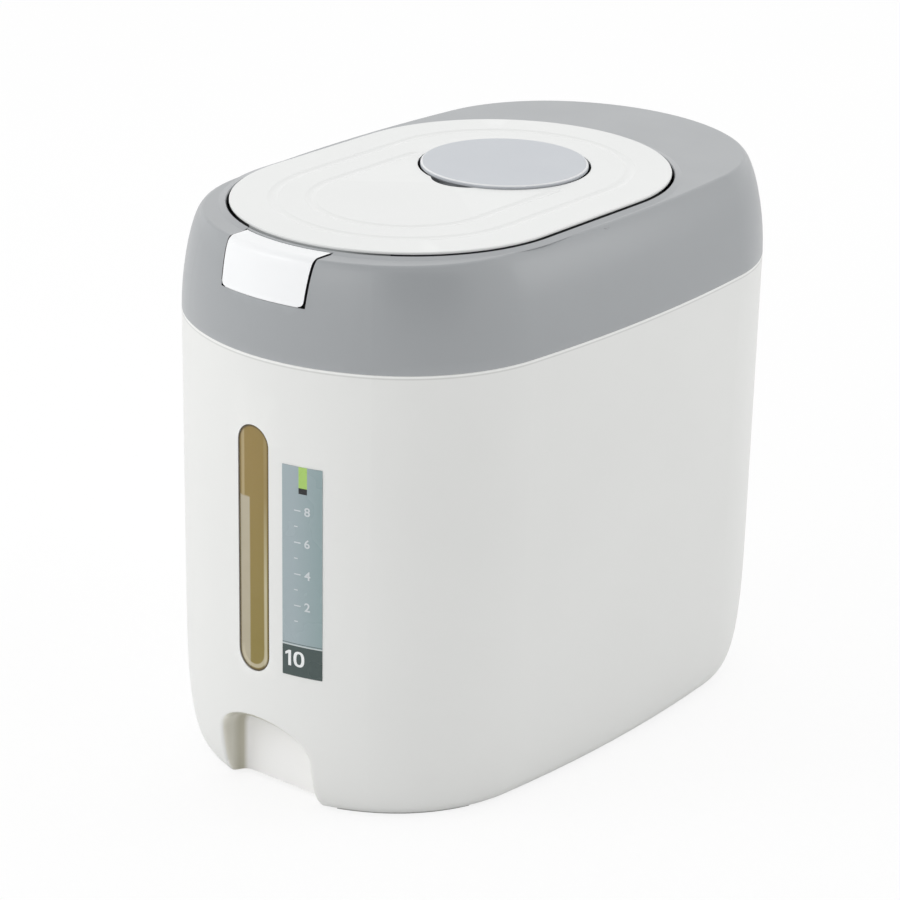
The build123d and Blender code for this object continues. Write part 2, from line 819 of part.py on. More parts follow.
hook_front = nose_rear + nose_tooth + hook_gap
with BuildSketch() as rib_side:
    with Locations((latch_pivot_y, latch_pivot_z)):
        Circle(latch_knuckle_radius)
        Rectangle(far, 2 * latch_knuckle_radius, align=(Align.MAX, Align.CENTER))
        Rectangle(
            2 * latch_knuckle_radius, latch_pivot_z - hook_low, align=(Align.CENTER, Align.MAX)
        )
    with Locations((latch_pivot_y, hook_low)):
        Rectangle(hook_front + hook_bar - latch_pivot_y, hook_height, align=(Align.MIN, Align.MIN))
latch_back = collar_form(latch_proud - latch_thickness - latch_seat_gap)
for x, side in ((latch_rib_x, "right"), (-latch_rib_x - latch_rib_width, "left")):
    with BuildPart() as latch_arm:
        add(bridge(x, latch_rib_width, rib_side.sketch))
        add(latch_back, mode=Mode.INTERSECT)
        add(latch_bore, mode=Mode.SUBTRACT)
    latch_arm.part.label = f"latch_arm_{side}"
    export_step(latch_arm.part, f"parts/latch_arm_{side}.step")

with BuildPart() as latch_hook:
    with Locations((0, hook_front, hook_low)):
        Box(2 * latch_rib_x, hook_bar, hook_height, align=(Align.CENTER, Align.MIN, Align.MIN))
latch_hook.part.label = "latch_hook"
export_step(latch_hook.part, "parts/latch_hook.step")

with BuildPart() as latch_pin:
    add(shaft(latch_pivot_y, latch_pivot_z, latch_pin_radius, 2 * (post_x + latch_post_width)))
latch_pin.part.label = "latch_pin"
export_step(latch_pin.part, "parts/latch_pin.step")

with BuildPart() as latch_spring:
    with BuildSketch(Plane.XZ.offset(-return_spring_rear)):
        with Locations((0, return_spring_z)):
            Circle(return_spring_radius)
            Circle(return_spring_bore, mode=Mode.SUBTRACT)
    extrude(amount=half_length)
    add(collar_form(latch_proud - latch_thickness - spring_clearance / 2), mode=Mode.INTERSECT)
latch_spring.part.label = "latch_spring"
export_step(latch_spring.part, "parts/latch_spring.step")

# Measuring cup, upside down in its well
with BuildPart() as measuring_cup:
    with BuildSketch(Plane.XY.offset(well_floor)):
        with Locations((0, cup_y)):
            Circle(cup_mouth_radius)
    with BuildSketch(Plane.XY.offset(cup_top - cup_wall)):
        with Locations((0, cup_y)):
            Circle(cup_waist_radius)
    loft()
    with BuildSketch(Plane.XY.offset(cup_top - cup_rim_thickness)):
        with Locations((0, cup_y)):
            Circle(cup_base_radius)
    extrude(amount=cup_rim_thickness)
    fillet(measuring_cup.faces().sort_by(Axis.Z)[-1].edges(), cup_rounding)
    with BuildSketch(Plane.XY.offset(well_floor)):
        with Locations((0, cup_y)):
            Circle(cup_mouth_radius - cup_wall)
    with BuildSketch(Plane.XY.offset(cup_top - cup_wall)):
        with Locations((0, cup_y)):
            Circle(cup_waist_radius - cup_wall)
    loft(mode=Mode.SUBTRACT)
measuring_cup.part.label = "measuring_cup"
export_step(measuring_cup.part, "parts/measuring_cup.step")
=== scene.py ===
import bmesh
import bpy
from math import copysign, cos, pi, radians, sin
from mathutils import Matrix, Vector
from mathutils.bvhtree import BVHTree


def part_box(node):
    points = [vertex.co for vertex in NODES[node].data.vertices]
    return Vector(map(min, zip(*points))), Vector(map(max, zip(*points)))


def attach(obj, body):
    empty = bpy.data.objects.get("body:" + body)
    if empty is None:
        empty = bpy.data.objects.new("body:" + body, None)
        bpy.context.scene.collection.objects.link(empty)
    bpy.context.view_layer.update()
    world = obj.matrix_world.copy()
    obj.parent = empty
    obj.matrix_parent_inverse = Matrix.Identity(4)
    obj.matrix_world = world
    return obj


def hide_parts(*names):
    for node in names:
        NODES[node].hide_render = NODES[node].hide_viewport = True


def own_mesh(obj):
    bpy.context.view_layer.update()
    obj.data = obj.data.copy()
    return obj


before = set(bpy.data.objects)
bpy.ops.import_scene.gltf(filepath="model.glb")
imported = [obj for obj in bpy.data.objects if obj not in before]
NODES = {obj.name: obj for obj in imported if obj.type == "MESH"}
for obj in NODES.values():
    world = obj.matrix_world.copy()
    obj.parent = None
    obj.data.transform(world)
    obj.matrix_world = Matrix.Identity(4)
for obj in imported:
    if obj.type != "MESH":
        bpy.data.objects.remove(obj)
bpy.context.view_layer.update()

# The rice bin's looks: materials on the CAD nodes, some with painted light and shade, print on the
# label, wound springs and two strips at the latch for painted light, with the stage and the
# camera.
# Lengths are in metres. X runs to the right of the bin's front, Y to its back and Z up.


# ---------------------------------------------------------------- camera
CAMERA_AZIMUTH, CAMERA_ELEVATION, CAMERA_ROLL = 38.653, 21.104, 1.2  # degrees
CAMERA_AIM = (-0.00974, -0.00925, 0.13755)
CAMERA_DISTANCE = 1.83
SENSOR_WIDTH, LENS = 36, 141.9  # millimetres
CLIP_START, CLIP_END = 0.05, 50


def direction(azimuth, elevation):
    """The way to an azimuth, right of the front, and an elevation, both in degrees."""
    azimuth, elevation = radians(azimuth), radians(elevation)
    return Vector((sin(azimuth) * cos(elevation), -cos(azimuth) * cos(elevation), sin(elevation)))


def make_camera():
    """The photograph's camera, right of the front and above, turned a little about its axis."""
    back = direction(CAMERA_AZIMUTH, CAMERA_ELEVATION)
    right = direction(CAMERA_AZIMUTH + 90, 0)
    up = back.cross(right)
    roll = radians(CAMERA_ROLL)
    turned_right = cos(roll) * right + sin(roll) * up
    turned_up = cos(roll) * up - sin(roll) * right
    data = bpy.data.cameras.new("camera")
    data.sensor_width, data.lens = SENSOR_WIDTH, LENS
    data.clip_start, data.clip_end = CLIP_START, CLIP_END
    camera = bpy.data.objects.new("camera", data)
    bpy.context.scene.collection.objects.link(camera)
    place = Vector(CAMERA_AIM) + CAMERA_DISTANCE * back
    turn = Matrix((turned_right, turned_up, back)).transposed()
    camera.matrix_world = Matrix.Translation(place) @ turn.to_4x4()
    bpy.context.scene.camera = camera


# ---------------------------------------------------------------- node helpers
EDGE = (0.55, 0.62)  # Pointiness where an edge starts and where it is full
WIDE, NARROW = (0.2, 0.8), (0.3, 0.7)  # the parts of a noise's range that are spread out


class Nodes:
    """Adds nodes to one tree. A value is a number, a colour or another node's output."""

    def __init__(self, tree):
        self.tree = tree
        tree.nodes.clear()

    def add(self, kind, **settings):
        node = self.tree.nodes.new(kind)
        for key, value in settings.items():
            setattr(node, key, value)
        return node

    def join(self, value, socket):
        """Gives a socket its value."""
        if isinstance(value, (int, float)):
            socket.default_value = value
        elif isinstance(value, tuple):
            socket.default_value = (*value, 1.0)
        else:
            self.tree.links.new(value, socket)

    def number(self, operation, *values):
        node = self.add("ShaderNodeMath", operation=operation)
        for socket, value in zip(node.inputs, values):
            self.join(value, socket)
        return node.outputs["Value"]

    def times(self, *values):
        product, *others = values
        for value in others:
            product = self.number("MULTIPLY", product, value)
        return product

    def span(self, value, low, high, to_low=0.0, to_high=1.0, curve="LINEAR"):
        """value between low and high, as a number between to_low and to_high."""
        node = self.add("ShaderNodeMapRange", interpolation_type=curve)
        names = ("Value", "From Min", "From Max", "To Min", "To Max")
        for name, number in zip(names, (value, low, high, to_low, to_high)):
            self.join(number, node.inputs[name])
        return node.outputs["Result"]

    def fall(self, value, low, high):
        """1 below low, 0 above high."""
        return self.span(value, low, high, 1.0, 0.0)


class Shader(Nodes):
    """One material's nodes. Places are in metres, in the object's own frame."""

    def __init__(self, name):
        self.material = bpy.data.materials.new(name)
        self.material.use_nodes = True
        super().__init__(self.material.node_tree)
        self.output = self.add("ShaderNodeOutputMaterial")
        self.bsdf = self.add("ShaderNodeBsdfPrincipled")
        self.join(self.bsdf.outputs["BSDF"], self.output.inputs["Surface"])
        coordinates = self.add("ShaderNodeTexCoord")
        self.place = coordinates.outputs["Object"]
        self.facing = coordinates.outputs["Normal"]

    def surface(self, color, roughness, normal):
        """What the surface shows."""
        for name, value in (("Base Color", color), ("Roughness", roughness), ("Normal", normal)):
            self.join(value, self.bsdf.inputs[name])

    def noise(self, scale, detail=2.0, stretch=None):
        node = self.add("ShaderNodeTexNoise")
        node.inputs["Scale"].default_value = scale
        node.inputs["Detail"].default_value = detail
        place = self.place
        if stretch:
            mapping = self.add("ShaderNodeMapping")
            mapping.inputs["Scale"].default_value = stretch
            self.join(place, mapping.inputs["Vector"])
            place = mapping.outputs["Vector"]
        self.join(place, node.inputs["Vector"])
        return node.outputs["Fac"]

    def parts(self, vector):
        """The three components of a vector."""
        node = self.add("ShaderNodeSeparateXYZ")
        self.join(vector, node.inputs[0])
        return tuple(node.outputs)

    def within(self, value, low, high):
        """1 where value lies between low and high, 0 elsewhere."""
        return self.number("COMPARE", value, (low + high) / 2, (high - low) / 2)

    def band(self, value, low, high, soft):
        """1 between low and high, running out softly past them."""
        return self.times(self.span(value, low - soft, low), self.fall(value, high, high + soft))

    def mix(self, share, first, second):
        """The first colour, with a share of the second."""
        node = self.add("ShaderNodeMix", data_type="RGBA")
        for socket, value in ((0, share), (6, first), (7, second)):
            self.join(value, node.inputs[socket])
        return node.outputs[2]

    def bump(self, heights, distance):
        node = self.add("ShaderNodeBump")
        node.inputs["Strength"].default_value = 1.0
        node.inputs["Distance"].default_value = distance
        self.join(heights, node.inputs["Height"])
        return node.outputs["Normal"]

    def edges(self):
        """1 along convex edges, 0 elsewhere."""
        pointiness = self.add("ShaderNodeNewGeometry").outputs["Pointiness"]
        return self.span(pointiness, *EDGE)


# ---------------------------------------------------------------- kinds of material
# Scale and detail of each kind's noise, the part of it that is dust, the ink's roughness, and
# the depth of the bumps
PLASTIC_CLOUDS, PLASTIC_SMUDGES, PLASTIC_GRAIN = (9.0, 3.0), (38.0, 4.0), (2600.0, 2.0)
METAL_LINES = (900.0, 3.0)
RUBBER_DUST, RUBBER_DUSTY, RUBBER_GRAIN = (60.0, 4.0), (0.35, 0.7), (1200.0, 3.0)
INK_WEAR, INK_ROUGHNESS = (260.0, 3.0), (0.3, 0.42)
PLASTIC_DEPTH, METAL_DEPTH, RUBBER_DEPTH, INK_DEPTH = 0.00002, 0.00001, 0.00003, 0.00001


def tint(color, factor):
    return tuple(min(1.0, c * factor) for c in color)


def plastic(name, color, roughness, grain=0.35, wear=1.04, spread=0.025, specular=0.5, paint=None):
    """Moulded plastic: a fine grain, faint clouding, and edges rubbed paler."""
    shader = Shader(name)
    clouds = shader.span(shader.noise(*PLASTIC_CLOUDS), *WIDE)
    base = shader.mix(clouds, tint(color, 1 - spread), tint(color, 1 + spread / 2))
    base = shader.mix(shader.edges(), base, tint(color, wear))
    if paint:
        base = paint(shader, base)
    smudges = shader.noise(*PLASTIC_SMUDGES)
    gloss = shader.span(smudges, *WIDE, roughness * 0.9, roughness * 1.12)
    fine = shader.bump(shader.noise(*PLASTIC_GRAIN), PLASTIC_DEPTH * grain)
    shader.surface(base, gloss, fine)
    shader.bsdf.inputs["Specular IOR Level"].default_value = specular
    return shader.material


def metal(name, color, roughness, stretch):
    """Drawn or ground steel, with fine lines along the part."""
    shader = Shader(name)
    lines = shader.noise(*METAL_LINES, stretch)
    base = shader.mix(shader.span(lines, *NARROW), tint(color, 0.86), tint(color, 1.08))
    gloss = shader.span(lines, *NARROW, roughness * 0.8, roughness * 1.25)
    shader.surface(base, gloss, shader.bump(lines, METAL_DEPTH))
    shader.bsdf.inputs["Metallic"].default_value = 1.0
    return shader.material


def rubber(name, color, roughness):
    """Dull rubber with a little dust on it."""
    shader = Shader(name)
    dust = shader.noise(*RUBBER_DUST)
    base = shader.mix(shader.span(dust, *RUBBER_DUSTY), color, tint(color, 1.25))
    gloss = shader.span(dust, *NARROW, roughness * 0.92, roughness * 1.1)
    shader.surface(base, gloss, shader.bump(shader.noise(*RUBBER_GRAIN), RUBBER_DEPTH))
    shader.bsdf.inputs["Specular IOR Level"].default_value = 0.3
    return shader.material


def printed_ink(name, color):
    """Ink with faintly uneven cover."""
    shader = Shader(name)
    worn = shader.noise(*INK_WEAR)
    base = shader.mix(shader.span(worn, *NARROW), tint(color, 0.93), tint(color, 1.03))
    gloss = shader.span(worn, *NARROW, *INK_ROUGHNESS)
    shader.surface(base, gloss, shader.bump(worn, INK_DEPTH))
    return shader.material


# ---------------------------------------------------------------- painted light and shade on the tub
# The tub has a painted highlight along its rim under the collar, starting just above a fine line
# of painted shade
SHADE_LINE, SHADE_LINE_HALF, SHADE_LINE_SOFT = 0.2322, 0.0002, 0.0003
RIM_HIGHLIGHT_START, RIM_HIGHLIGHT_FULL = SHADE_LINE + 0.0005, SHADE_LINE + 0.0008
SHADE_COLOR, RIM_HIGHLIGHT_COLOR, RIM_HIGHLIGHT_SHARE = (0.66, 0.665, 0.65), (0.90, 0.905, 0.89), 0.8

# The hand hold: straight sides up to HOLD_ARCH_START, an arch above, its lip in front of HOLD_LIP
HOLD_HALF, HOLD_ARCH_START, HOLD_TOP = 0.0296, 0.0268, 0.0456
HOLD_FRONT, HOLD_LIP, HOLD_REAR = -0.18, -0.158, -0.13
# Painted light on the hold's back, and painted shade with a beige tint on its walls, darker at the
# corner and under the arch
HOLD_BACK_LIGHT_COLOR = (0.955, 0.955, 0.95)
HOLD_WALL_SHADE_COLOR, HOLD_CORNER_SHADE_COLOR = (0.75, 0.735, 0.655), (0.55, 0.53, 0.44)
HOLD_ARCH_SHADE_COLOR = (0.40, 0.385, 0.315)
HOLD_CORNER_Y = (-0.156, -0.151)  # where the painted shade on a wall turns darker towards the back's corner
HOLD_ARCH_Z = (0.036, 0.041)  # and towards the arch's top
HOLD_WIDE_Z, HOLD_WIDE_X = (0.030, 0.038), (-0.002, 0.014)  # the lip's part with a wider painted shade
HOLD_TURN, HOLD_WIDE_TURN = (0.62, 0.90), (0.90, 0.965)  # how far a face with painted shade looks forward


def tub_paint(shader, base):
    """A painted highlight along the rim under the collar with a fine line of painted shade below
    it, and the hand hold's painted light and shade.
    """
    z = shader.parts(shader.place)[2]
    low, high = SHADE_LINE - SHADE_LINE_HALF, SHADE_LINE + SHADE_LINE_HALF
    # painted shade in a fine line
    base = shader.mix(shader.band(z, low, high, SHADE_LINE_SOFT), base, SHADE_COLOR)
    # a painted highlight on the rim above it
    base = shader.mix(shader.span(z, RIM_HIGHLIGHT_START, RIM_HIGHLIGHT_FULL, 0.0, RIM_HIGHLIGHT_SHARE), base, RIM_HIGHLIGHT_COLOR)
    return hold_paint(shader, base)


def hold_paint(shader, base):
    """Painted shade on the walls of the hand hold, beige and darkest under the arch, and painted
    light on its back.
    """
    x, y, z = shader.parts(shader.place)
    forward = shader.number("ABSOLUTE", shader.parts(shader.facing)[1])
    rise = shader.span(z, HOLD_ARCH_START, HOLD_TOP)
    reach = shader.number("SQRT", shader.number("SUBTRACT", 1.0, shader.times(rise, rise)))
    room = shader.number("SUBTRACT", shader.times(reach, HOLD_HALF), shader.number("ABSOLUTE", x))
    inside = shader.times(
        shader.number("GREATER_THAN", room, 0.0), shader.number("LESS_THAN", z, HOLD_TOP)
    )
    back = shader.times(inside, shader.within(y, HOLD_LIP, HOLD_REAR))
    # painted light on the back of the hold
    base = shader.mix(back, base, HOLD_BACK_LIGHT_COLOR)
    # painted shade on its walls and lip
    wall = shader.mix(shader.span(y, *HOLD_CORNER_Y), HOLD_WALL_SHADE_COLOR, HOLD_CORNER_SHADE_COLOR)
    wall = shader.mix(shader.span(z, *HOLD_ARCH_Z), wall, HOLD_ARCH_SHADE_COLOR)
    lip = shader.times(inside, shader.within(y, HOLD_FRONT, HOLD_LIP))
    wide = shader.times(shader.span(z, *HOLD_WIDE_Z), shader.fall(x, *HOLD_WIDE_X))
    aside = shader.fall(forward, *HOLD_TURN)
    lip_aside = shader.mix(wide, aside, shader.fall(forward, *HOLD_WIDE_TURN))
    shaded = shader.number("MAXIMUM", shader.times(back, aside), shader.times(lip, lip_aside))
    return shader.mix(shaded, base, wall)


# ---------------------------------------------------------------- painted shade and light at the latch, and a painted highlight on the cup
# Painted shade in the gap round the latch and beside the latch's left edge, which leans out as it
# rises
GAP_HALF, GAP_FRONT, GAP_REAR = 0.0325, -0.19, -0.125
LATCH_LOW, LATCH_HIGH = 0.2625, 0.2844
LATCH_LOW_HALF, LATCH_HIGH_HALF = 0.0263, 0.0273
GAP_LINE, GAP_LINE_START = 0.0005, LATCH_LOW + 0.002  # the line of painted shade beside that edge
GAP_FLOOR_Z = (0.257, 0.2637)
GAP_WALL_TURN, GAP_FLOOR_TURN = (0.5, 0.62), (0.6, 0.75)  # how far they look aside and up
GAP_WALL_SHADE_COLOR, GAP_LINE_SHADE_COLOR = (0.02, 0.02, 0.022), (0.05, 0.05, 0.052)
# The latch's own colour, also painted as light on the floor of the gap under the latch
LATCH_COLOR = (0.93, 0.94, 0.95)
DISC_EDGE_UP = (0.55, 0.93, 0.04)  # where the disc's painted highlight lies: how far its edge looks up, and how softly it ends
# the colour of the painted highlight on the disc's edge
DISC_EDGE_HIGHLIGHT_COLOR = (0.84, 0.85, 0.86)


def latch_gap_paint(shader, base):
    """Painted shade on the side walls of the gap round the latch and in a line beside the latch's
    left edge, and painted light on the floor under it.
    """
    x, y, z = shader.parts(shader.place)
    across, _, up = shader.parts(shader.facing)
    near = shader.times(
        shader.within(x, -GAP_HALF, GAP_HALF), shader.within(y, GAP_FRONT, GAP_REAR)
    )
    side = shader.span(shader.number("ABSOLUTE", across), *GAP_WALL_TURN)
    # painted shade on the gap's side walls
    base = shader.mix(shader.times(near, side), base, GAP_WALL_SHADE_COLOR)
    edge = shader.span(z, LATCH_LOW, LATCH_HIGH, -LATCH_LOW_HALF, -LATCH_HIGH_HALF)
    # painted shade in a line beside the latch's left edge
    line = shader.times(
        near,
        shader.within(shader.number("SUBTRACT", x, edge), -GAP_LINE, 0.0),
        shader.number("GREATER_THAN", z, GAP_LINE_START),
    )
    base = shader.mix(line, base, GAP_LINE_SHADE_COLOR)
    # painted light on the floor of the gap under the latch
    floor = shader.times(
        near, shader.within(z, *GAP_FLOOR_Z), shader.span(up, *GAP_FLOOR_TURN)
    )
    return shader.mix(floor, base, LATCH_COLOR)


def disc_edge_highlight_paint(shader, base):
    """A painted highlight along the rounded edge of the disc."""
    up = shader.parts(shader.facing)[2]
    return shader.mix(shader.band(up, *DISC_EDGE_UP), base, DISC_EDGE_HIGHLIGHT_COLOR)


# ---------------------------------------------------------------- stage
FLOOR_SIZE, FLOOR_SCALE, FLOOR_ROUGHNESS = 24, 3.0, 0.8
FLOOR_COLORS = (0.9, 0.9, 0.9), (0.92, 0.92, 0.92)
FLOOR_GLOW, FLOOR_GLOW_SHARE = 1.025, 0.8  # what the camera sees of it, over its lit paper

# The even level of the air, and patches of it (azimuth, elevation, inner and outer half angle,
# change) that are dimmer: behind the camera, and overhead
AIR_LEVEL = 1.10
DIM_AIR = [(57, 18, 15, 36, -1.0), (40, 80, 20, 50, -0.45)]

LAMPS_AIM = (0, 0, 0.14)
LAMPS = [  # name, place, size, power
    ("lamp_front_left", (-1.6, -2.2, 2.0), (1.1, 1.1), 9.5),
    ("lamp_front", (0.3, -3.0, 1.5), (1.6, 1.6), 7.5),
    ("lamp_right_rear", (2.0, 2.0, 2.0), (1.4, 1.4), 4.0),
    ("lamp_right_low", (2.2, 1.9, 0.9), (0.9, 1.1), 5.0),
]


def make_floor():
    """A white floor that keeps a soft shadow."""
    shader = Shader("floor")
    paper = shader.mix(shader.span(shader.noise(FLOOR_SCALE), *NARROW), *FLOOR_COLORS)
    shader.join(paper, shader.bsdf.inputs["Base Color"])
    shader.bsdf.inputs["Roughness"].default_value = FLOOR_ROUGHNESS
    glow = shader.add("ShaderNodeEmission")
    glow.inputs["Strength"].default_value = FLOOR_GLOW
    seen = shader.add("ShaderNodeLightPath").outputs["Is Camera Ray"]
    blend = shader.add("ShaderNodeMixShader")
    shader.join(shader.times(seen, FLOOR_GLOW_SHARE), blend.inputs[0])
    shader.join(shader.bsdf.outputs["BSDF"], blend.inputs[1])
    shader.join(glow.outputs["Emission"], blend.inputs[2])
    shader.join(blend.outputs["Shader"], shader.output.inputs["Surface"])
    bpy.ops.mesh.primitive_plane_add(size=FLOOR_SIZE, location=(0, 0, 0))
    floor = bpy.context.active_object
    floor.name = "floor"
    floor.data.materials.append(shader.material)


def make_air():
    """Air that is white to the camera, and even but for its dimmer patches to the object."""
    world = bpy.data.worlds.new("air")
    bpy.context.scene.world = world
    world.use_nodes = True
    nodes = Nodes(world.node_tree)
    way = nodes.add("ShaderNodeTexCoord").outputs["Generated"]
    strength = AIR_LEVEL
    for azimuth, elevation, inner, outer, change in DIM_AIR:
        facing = nodes.add("ShaderNodeVectorMath", operation="DOT_PRODUCT")
        facing.inputs[1].default_value = direction(azimuth, elevation)
        nodes.join(way, facing.inputs[0])
        edge, full = cos(radians(outer)), cos(radians(inner))
        patch = nodes.span(facing.outputs["Value"], edge, full, 0.0, change, "SMOOTHSTEP")
        strength = nodes.number("ADD", strength, patch)
    level = nodes.add("ShaderNodeMix", data_type="FLOAT")
    nodes.join(nodes.add("ShaderNodeLightPath").outputs["Is Camera Ray"], level.inputs[0])
    nodes.join(strength, level.inputs[2])
    nodes.join(1.0, level.inputs[3])
    air = nodes.add("ShaderNodeBackground")
    nodes.join((1.0, 1.0, 1.0), air.inputs["Color"])
    nodes.join(level.outputs[0], air.inputs["Strength"])
    output = nodes.add("ShaderNodeOutputWorld")
    nodes.join(air.outputs["Background"], output.inputs["Surface"])


def make_lamps():
    """Soft lamps that look at the object."""
    for name, place, size, power in LAMPS:
        data = bpy.data.lights.new(name, "AREA")
        data.shape = "RECTANGLE"
        data.size, data.size_y = size
        data.energy = power
        lamp = bpy.data.objects.new(name, data)
        bpy.context.scene.collection.objects.link(lamp)
        lamp.location = place
        aim = Vector(LAMPS_AIM) - Vector(place)
        lamp.rotation_euler = aim.to_track_quat("-Z", "Y").to_euler()


# ---------------------------------------------------------------- the window
WINDOW_X, WINDOW_Z = -0.0021, 0.13415
WINDOW_HALF, WINDOW_RISE = 0.00995, 0.06435
FILL_LINE = (0.1601, 0.1611)  # the wide painted reflection on the left ends here

AMBER_LOW, AMBER_HIGH, AMBER_Z = (0.262, 0.200, 0.040), (0.300, 0.203, 0.052), (0.08, 0.18)
AMBER_CLOUD = (0.335, 0.262, 0.092)

# Painted reflections along the window: from, to and softness across it, and their colours
LEFT_REFLECTION, LEFT_REFLECTION_COLOR = (-0.0086, -0.0029, 0.0007), (0.50, 0.45, 0.335)
THIN, THIN_REFLECTION_COLOR = (-0.0077, -0.0063, 0.0006), (0.50, 0.40, 0.22)
RIGHT, RIGHT_REFLECTION_COLOR = (0.0068, 0.0080, 0.0006), (0.60, 0.545, 0.37)
# A painted highlight in an arc at its foot and painted shade at its rim, by their distance from
# the window's middle line
ARC, ARC_HIGHLIGHT_COLOR = (0.0066, 0.0081, 0.0005), (0.62, 0.56, 0.40)
WINDOW_RIM_SHADE, WINDOW_RIM_SHADE_COLOR = (0.0083, 0.0093), (0.092, 0.063, 0.021)
# How strongly they show: the wide reflection by the clouds, the right reflection and the arc by
# their height
LEFT_REFLECTION_CLOUDS = (0.35, 0.65, 0.85, 1.0)
THIN_SHARE, ARC_SHARE = 0.7, 0.75
RIGHT_Z, ARC_Z = (0.115, 0.163, 0.85, 0.12), (0.077, 0.083)

WINDOW_CLOUDS, WINDOW_CLOUD_SHARE = (30.0, 3.0), 0.3
WINDOW_ROUGHNESS, WINDOW_IOR, WINDOW_CLEAR = (0.12, 0.2), 1.5, 0.1
WINDOW_GRAIN, WINDOW_DEPTH = 700.0, 0.00002


def window_plastic():
    """Clear amber plastic with painted shade at its rim, painted reflections along its sides, wide
    on the left below the fill line, and a painted highlight in an arc at its foot.
    """
    shader = Shader("window_plastic")
    x, _, z = shader.parts(shader.place)
    across = shader.number("SUBTRACT", x, WINDOW_X)
    along = shader.number("ABSOLUTE", shader.number("SUBTRACT", z, WINDOW_Z))
    past = shader.number("SUBTRACT", along, WINDOW_RISE - WINDOW_HALF)
    past = shader.number("MAXIMUM", past, 0.0)
    square = shader.number("ADD", shader.times(past, past), shader.times(across, across))
    out = shader.number("SQRT", square)
    clouds = shader.noise(*WINDOW_CLOUDS)
    color = shader.mix(shader.span(z, *AMBER_Z), AMBER_LOW, AMBER_HIGH)
    color = shader.mix(
        shader.span(clouds, *NARROW, 0.0, WINDOW_CLOUD_SHARE), color, AMBER_CLOUD
    )
    # a wide painted reflection along the left side, below the fill line
    left_reflection = shader.times(
        shader.band(across, *LEFT_REFLECTION),
        shader.fall(z, *FILL_LINE),
        shader.span(clouds, *LEFT_REFLECTION_CLOUDS),
    )
    color = shader.mix(left_reflection, color, LEFT_REFLECTION_COLOR)
    # a narrow painted reflection on the left, above the fill line
    thin = shader.times(shader.band(across, *THIN), shader.span(z, *FILL_LINE), THIN_SHARE)
    color = shader.mix(thin, color, THIN_REFLECTION_COLOR)
    # a painted reflection along the right side
    right = shader.times(shader.band(across, *RIGHT), shader.span(z, *RIGHT_Z))
    color = shader.mix(right, color, RIGHT_REFLECTION_COLOR)
    # a painted highlight in an arc at the foot
    arc = shader.times(shader.band(out, *ARC), shader.fall(z, *ARC_Z), ARC_SHARE)
    color = shader.mix(arc, color, ARC_HIGHLIGHT_COLOR)
    # painted shade at the window's rim
    color = shader.mix(shader.span(out, *WINDOW_RIM_SHADE), color, WINDOW_RIM_SHADE_COLOR)
    gloss = shader.span(clouds, *NARROW, *WINDOW_ROUGHNESS)
    shader.surface(color, gloss, shader.bump(shader.noise(WINDOW_GRAIN), WINDOW_DEPTH))
    shader.bsdf.inputs["IOR"].default_value = WINDOW_IOR
    shader.bsdf.inputs["Transmission Weight"].default_value = WINDOW_CLEAR
    return shader.material


# ---------------------------------------------------------------- the label
LABEL_X = (0.022, 0.0365)  # from here to there the ground turns from its left to its right colour
LABEL_LEFT_COLOR, LABEL_RIGHT_COLOR = (0.345, 0.415, 0.44), (0.265, 0.355, 0.365)
LABEL_CLOUD, LABEL_CLOUD_SHARE = (0.5, 0.55, 0.57), 0.05
LABEL_CLOUDS, LABEL_ROUGHNESS = 40.0, (0.24, 0.30)
LABEL_GRAIN, LABEL_DEPTH = 900.0, 0.00001
LABEL_BANDS = [  # low, high and colour: the dark band at the foot, and two lines over it
    (0.0730, 0.0898, (0.056, 0.082, 0.078)),
    (0.0898, 0.0904, (0.55, 0.60, 0.60)),
    (0.0908, 0.0912, (0.12, 0.15, 0.15)),
]
TAB_X = (0.0249, 0.0293)
TAB_BANDS = [  # the green tab and its black mark
    (0.1725, 0.1850, (0.39, 0.60, 0.145)),
    (0.1695, 0.1725, (0.012, 0.014, 0.014)),
]

INK_WHITE, INK_PALE = (0.86, 0.88, 0.88), (0.62, 0.66, 0.68)
PRINT_STEP = 0.0012  # the print is cut this fine, to follow the label's curve
PRINT_HEIGHT = 0.00006
CLEAR_OF_FRONT = -0.3  # a y in front of every face
CAPACITY_LEFT, CAPACITY_LOW, CAPACITY_HEIGHT = 0.0176, 0.0789, 0.0082
STEM, FLAG, FIGURE_GAP = 0.19, 0.2, 0.16  # of the 1, and from it to the 0, by their height
ZERO_WIDTH, ZERO_POWER, RING_STEPS = 0.0058, 0.8, 32
ZERO_THIN = 0.8  # its stroke above and below, by the stem
SCALE_ZERO, SCALE_STEP = 0.0945, 0.0165  # heights of the scale's zero and of one numbered step
FIGURE_LEFT, FIGURE_HEIGHT, FIGURE_DROP, FIGURE_WEIGHT = 0.0279, 0.0046, 0.002, 0.02
TICK_LEFT, TICK_LONG, TICK_SHORT, TICK_HEIGHT = 0.0225, 0.0035, 0.002, 0.0006


def label_film():
    """Printed film: pale blue-grey, a dark band at the foot and a green tab with a black mark."""
    shader = Shader("label_film")
    x, _, z = shader.parts(shader.place)
    clouds = shader.noise(LABEL_CLOUDS)
    color = shader.mix(shader.span(x, *LABEL_X), LABEL_LEFT_COLOR, LABEL_RIGHT_COLOR)
    color = shader.mix(
        shader.span(clouds, *WIDE, 0.0, LABEL_CLOUD_SHARE), color, LABEL_CLOUD
    )
    for low, high, ink in LABEL_BANDS:
        color = shader.mix(shader.within(z, low, high), color, ink)
    tab = shader.within(x, *TAB_X)
    for low, high, ink in TAB_BANDS:
        color = shader.mix(shader.times(tab, shader.within(z, low, high)), color, ink)
    gloss = shader.span(clouds, *WIDE, *LABEL_ROUGHNESS)
    shader.surface(color, gloss, shader.bump(shader.noise(LABEL_GRAIN), LABEL_DEPTH))
    return shader.material


